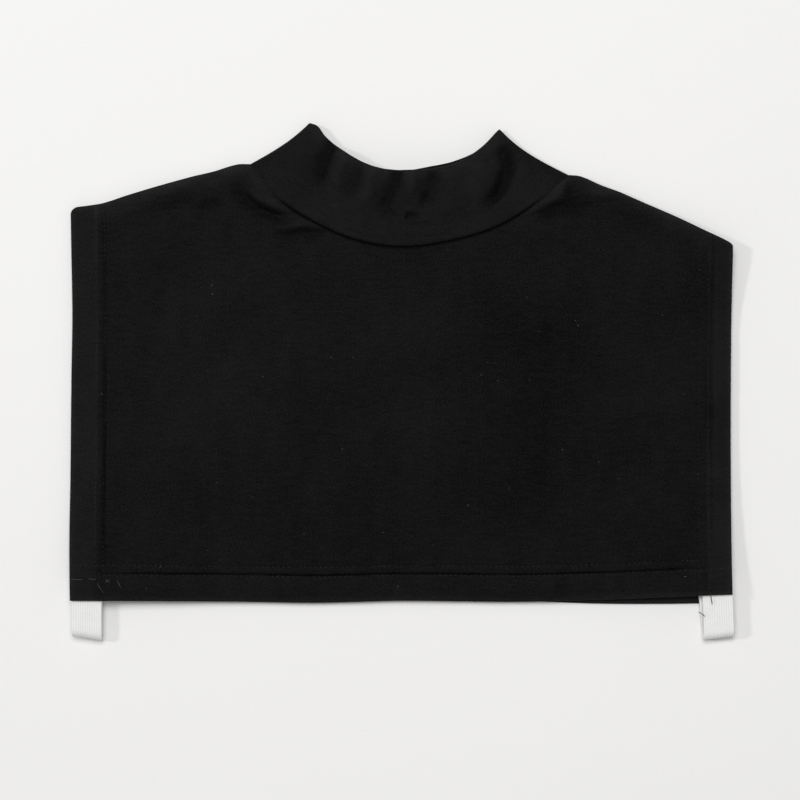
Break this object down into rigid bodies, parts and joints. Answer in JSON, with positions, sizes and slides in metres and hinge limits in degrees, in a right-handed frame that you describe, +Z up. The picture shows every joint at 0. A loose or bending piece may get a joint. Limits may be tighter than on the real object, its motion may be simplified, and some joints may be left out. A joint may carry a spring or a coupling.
{
  "type": "turtleneck dickey",
  "caption": "Turtleneck dickey lying face up: a folded knit collar on a short front and back panel, held together under the arms by elastic loops.",
  "frame": {"origin": "On the surface that the dickey lies on, under the middle of its outline seen from above.", "axes": "+X runs across the panels, to the right in the view from above, +Y from the hem to the collar, +Z up from the surface."},
  "size_m": [0.398, 0.311, 0.0154],
  "materials": {
    "black_knit": "matt black cotton jersey with a faint slub",
    "white_elastic": "white ribbed woven elastic"
  },
  "bodies": {
    "root": {"back_panel": "black_knit", "front_panel": "black_knit", "collar": "black_knit", "elastic_left": "white_elastic", "elastic_right": "white_elastic"}
  },
  "joints": []
}
